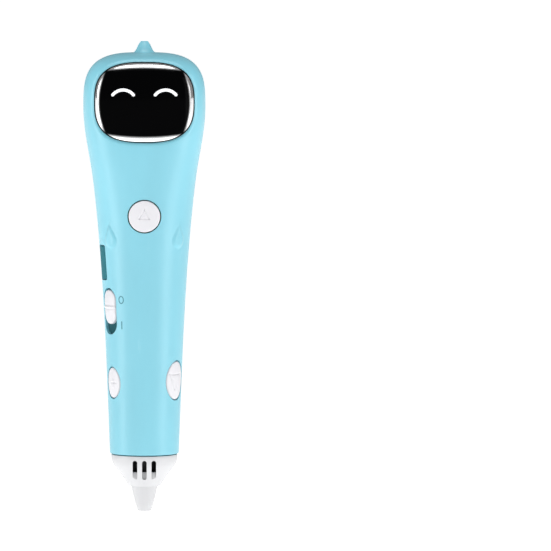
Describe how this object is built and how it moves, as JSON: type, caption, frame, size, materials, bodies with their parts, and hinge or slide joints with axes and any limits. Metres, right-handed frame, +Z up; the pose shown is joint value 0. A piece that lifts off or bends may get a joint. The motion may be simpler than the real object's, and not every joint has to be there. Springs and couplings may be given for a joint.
{
  "type": "3d drawing pen",
  "caption": "Hand-held 3-D drawing pen with a tapered round barrel, squarish head with a glossy face plate, side slider and buttons, and a vented nozzle cap.",
  "frame": {"origin": "centre of the nozzle outlet at the tip", "axes": "+Z up the pen's axis to the filament inlet, -Y out of the face, +X to the viewer's right when facing the face"},
  "size_m": [0.0468, 0.0388, 0.18],
  "materials": {
    "shell_cyan": "gloss",
    "face_black": "high gloss",
    "light_pipe": "translucent white",
    "button_white": "satin",
    "cap_white": "satin",
    "window_teal": "gloss",
    "inner_plastic": "matte",
    "black_plastic": "matte",
    "board_green": "solder mask",
    "steel": "ground",
    "brass": "turned",
    "lamp": "clear resin",
    "foam": "closed-cell foam",
    "cell_foil": "foil pouch",
    "tube_white": "slippery tube",
    "ceramic": "ceramic"
  },
  "bodies": {
    "pen": {"front_shell": "shell_cyan", "back_shell": "shell_cyan", "filament_inlet": "shell_cyan", "face_lens": "face_black", "eye_diffuser": "light_pipe", "face_board": "board_green", "eye_leds": "lamp", "indicator_window": "window_teal", "indicator_board": "board_green", "indicator_leds": "lamp", "feed_switch_body": "black_plastic", "speed_switch_body": "black_plastic", "reverse_switch_body": "black_plastic", "power_switch_body": "black_plastic", "speed_switch_board": "board_green", "reverse_switch_board": "board_green", "power_switch_board": "board_green", "nozzle_cap": "cap_white", "nozzle_cone": "cap_white", "melt_tube": "brass", "heater_sleeve": "ceramic", "insulation_sleeve": "foam", "thermistor": "lamp", "hot_end_holder": "inner_plastic", "lower_guide_tube": "tube_white", "upper_guide_tube": "tube_white", "feed_frame": "inner_plastic", "motor_can": "steel", "gearbox": "steel", "motor_clamp": "inner_plastic", "axle_bushes": "brass", "idler_pivot_pin": "steel", "idler_spring": "steel", "battery": "cell_foil", "battery_foam": "foam", "main_board": "board_green", "control_chip": "black_plastic", "board_connectors": "inner_plastic", "charge_board": "board_green", "charge_socket": "steel", "casing_screws": "steel"},
    "feed_button": {"feed_button": "button_white", "feed_switch_plunger": "inner_plastic"},
    "speed_button": {"speed_button": "button_white", "speed_switch_plunger": "inner_plastic"},
    "reverse_button": {"reverse_button": "button_white", "reverse_switch_plunger": "inner_plastic"},
    "power_slider": {"power_slider": "button_white", "power_switch_lever": "black_plastic"},
    "feed_drive": {"feed_axle": "steel", "feed_gear": "inner_plastic", "feed_wheel": "steel"},
    "motor_drive": {"motor_shaft": "steel", "drive_pinion": "brass"},
    "idler_arm": {"idler_arm": "black_plastic", "idler_pin": "steel"},
    "idler_wheel": {"idler_wheel": "steel"}
  },
  "joints": [
    {"name": "feed_button_press", "type": "slide", "parent": "pen", "child": "feed_button", "axis": [0, 1, 0], "range_m": [0, 0.0006], "stiffness_N_per_m": 400},
    {"name": "speed_button_press", "type": "slide", "parent": "pen", "child": "speed_button", "axis": [0.8536, 0.521, 0], "range_m": [0, 0.0006], "stiffness_N_per_m": 400},
    {"name": "reverse_button_press", "type": "slide", "parent": "pen", "child": "reverse_button", "axis": [-0.8536, 0.521, 0], "range_m": [0, 0.0006], "stiffness_N_per_m": 400},
    {"name": "power_slide", "type": "slide", "parent": "pen", "child": "power_slider", "axis": [0, 0, -1], "range_m": [0, 0.0033]},
    {"name": "feed_axle_turn", "type": "hinge", "parent": "pen", "child": "feed_drive", "pos_m": [0, 0.005, 0.13288], "axis": [1, 0, 0], "continuous": true},
    {"name": "motor_shaft_turn", "type": "hinge", "parent": "pen", "child": "motor_drive", "pos_m": [0, 0.008, 0.1445], "axis": [1, 0, 0], "continuous": true},
    {"name": "idler_arm_swing", "type": "hinge", "parent": "pen", "child": "idler_arm", "pos_m": [0, -0.0043, 0.12238], "axis": [1, 0, 0], "range_deg": [0, 5], "stiffness_Nm_per_rad": 0.1, "deforming": ["idler_spring"]},
    {"name": "idler_wheel_turn", "type": "hinge", "parent": "idler_arm", "child": "idler_wheel", "pos_m": [0, -0.0043, 0.13288], "axis": [1, 0, 0], "continuous": true}
  ],
  "couplings": [
    {"joint": "motor_shaft_turn", "follows": "feed_axle_turn", "ratio": -1.6667},
    {"joint": "idler_wheel_turn", "follows": "feed_axle_turn", "ratio": -1.2}
  ]
}
